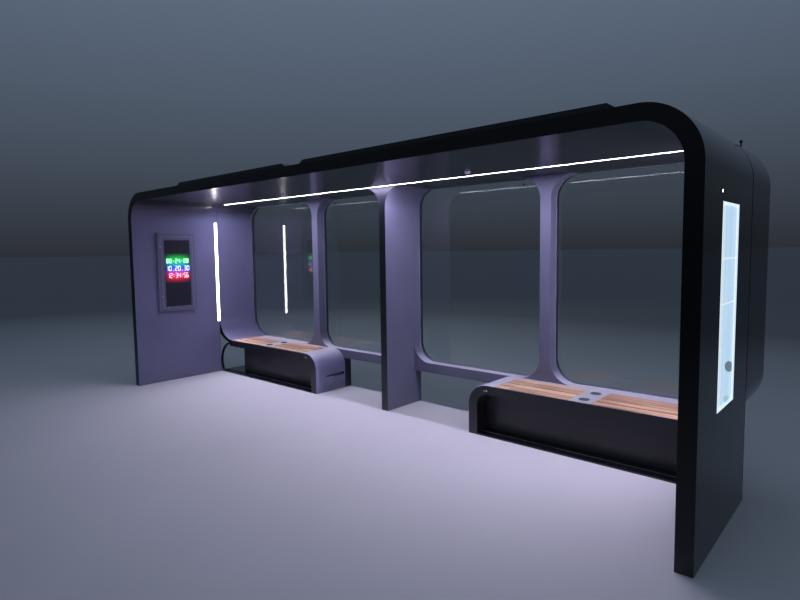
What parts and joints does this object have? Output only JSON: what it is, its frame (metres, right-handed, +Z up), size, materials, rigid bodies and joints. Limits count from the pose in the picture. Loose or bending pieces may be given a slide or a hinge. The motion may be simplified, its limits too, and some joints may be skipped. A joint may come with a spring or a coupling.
{
  "type": "bus shelter",
  "caption": "Open-fronted bus shelter: a folded dark metal ring with rounded corners, benches that grow out of its sides, a centre fin and a glazed back.",
  "frame": {"origin": "on the floor, at the centre of the shelter's footprint", "axes": "+X along the shelter, to the right as seen from the open front; +Y to the glazed back; +Z up"},
  "size_m": [6.744, 1.848, 2.545],
  "materials": {
    "shell_paint": "satin anthracite powder coat",
    "dark_paint": "dark powder coat",
    "dark_trim": "satin black",
    "pale_metal": "brushed",
    "seat_timber": "oiled slats",
    "glazing": "clear toughened",
    "light": "lit diffuser",
    "poster_light": "lit diffuser",
    "screen": "dark display glass",
    "charge_pad": "gloss black",
    "sensor_cover": "gloss dark",
    "solar_tray": "satin black",
    "antenna": "black"
  },
  "bodies": {
    "root": {"left_side_wall": "shell_paint", "right_side_wall": "shell_paint", "left_front_corner": "shell_paint", "right_front_corner": "shell_paint", "front_roof": "shell_paint", "left_rear_side": "shell_paint", "right_rear_side": "shell_paint", "left_rear_corner": "shell_paint", "right_rear_corner": "shell_paint", "rear_roof": "shell_paint", "left_seat_curve": "shell_paint", "right_seat_curve": "shell_paint", "left_seat_deck": "shell_paint", "right_seat_deck": "shell_paint", "left_bench_slats": "seat_timber", "right_bench_slats": "seat_timber", "left_charge_plate": "pale_metal", "right_charge_plate": "pale_metal", "charge_pads": "charge_pad", "left_bench_end": "shell_paint", "right_bench_end": "shell_paint", "left_bench_tray": "dark_paint", "right_bench_tray": "dark_paint", "left_bench_return": "dark_paint", "right_bench_return": "dark_paint", "left_bench_box": "dark_paint", "right_bench_box": "dark_paint", "left_sill_rail": "shell_paint", "right_sill_rail": "shell_paint", "left_mullion": "shell_paint", "right_mullion": "shell_paint", "centre_fin": "shell_paint", "left_inner_glass": "glazing", "right_inner_glass": "glazing", "left_outer_glass": "glazing", "right_outer_glass": "glazing", "ceiling_light": "light", "left_wall_light": "light", "right_wall_light": "light", "display_housing": "shell_paint", "display_door": "dark_trim", "display_screen": "screen", "poster_frame": "dark_trim", "poster_panel": "poster_light", "left_roof_tray": "solar_tray", "right_roof_tray": "solar_tray", "ceiling_sensors": "sensor_cover", "roof_antenna": "antenna"}
  },
  "joints": []
}
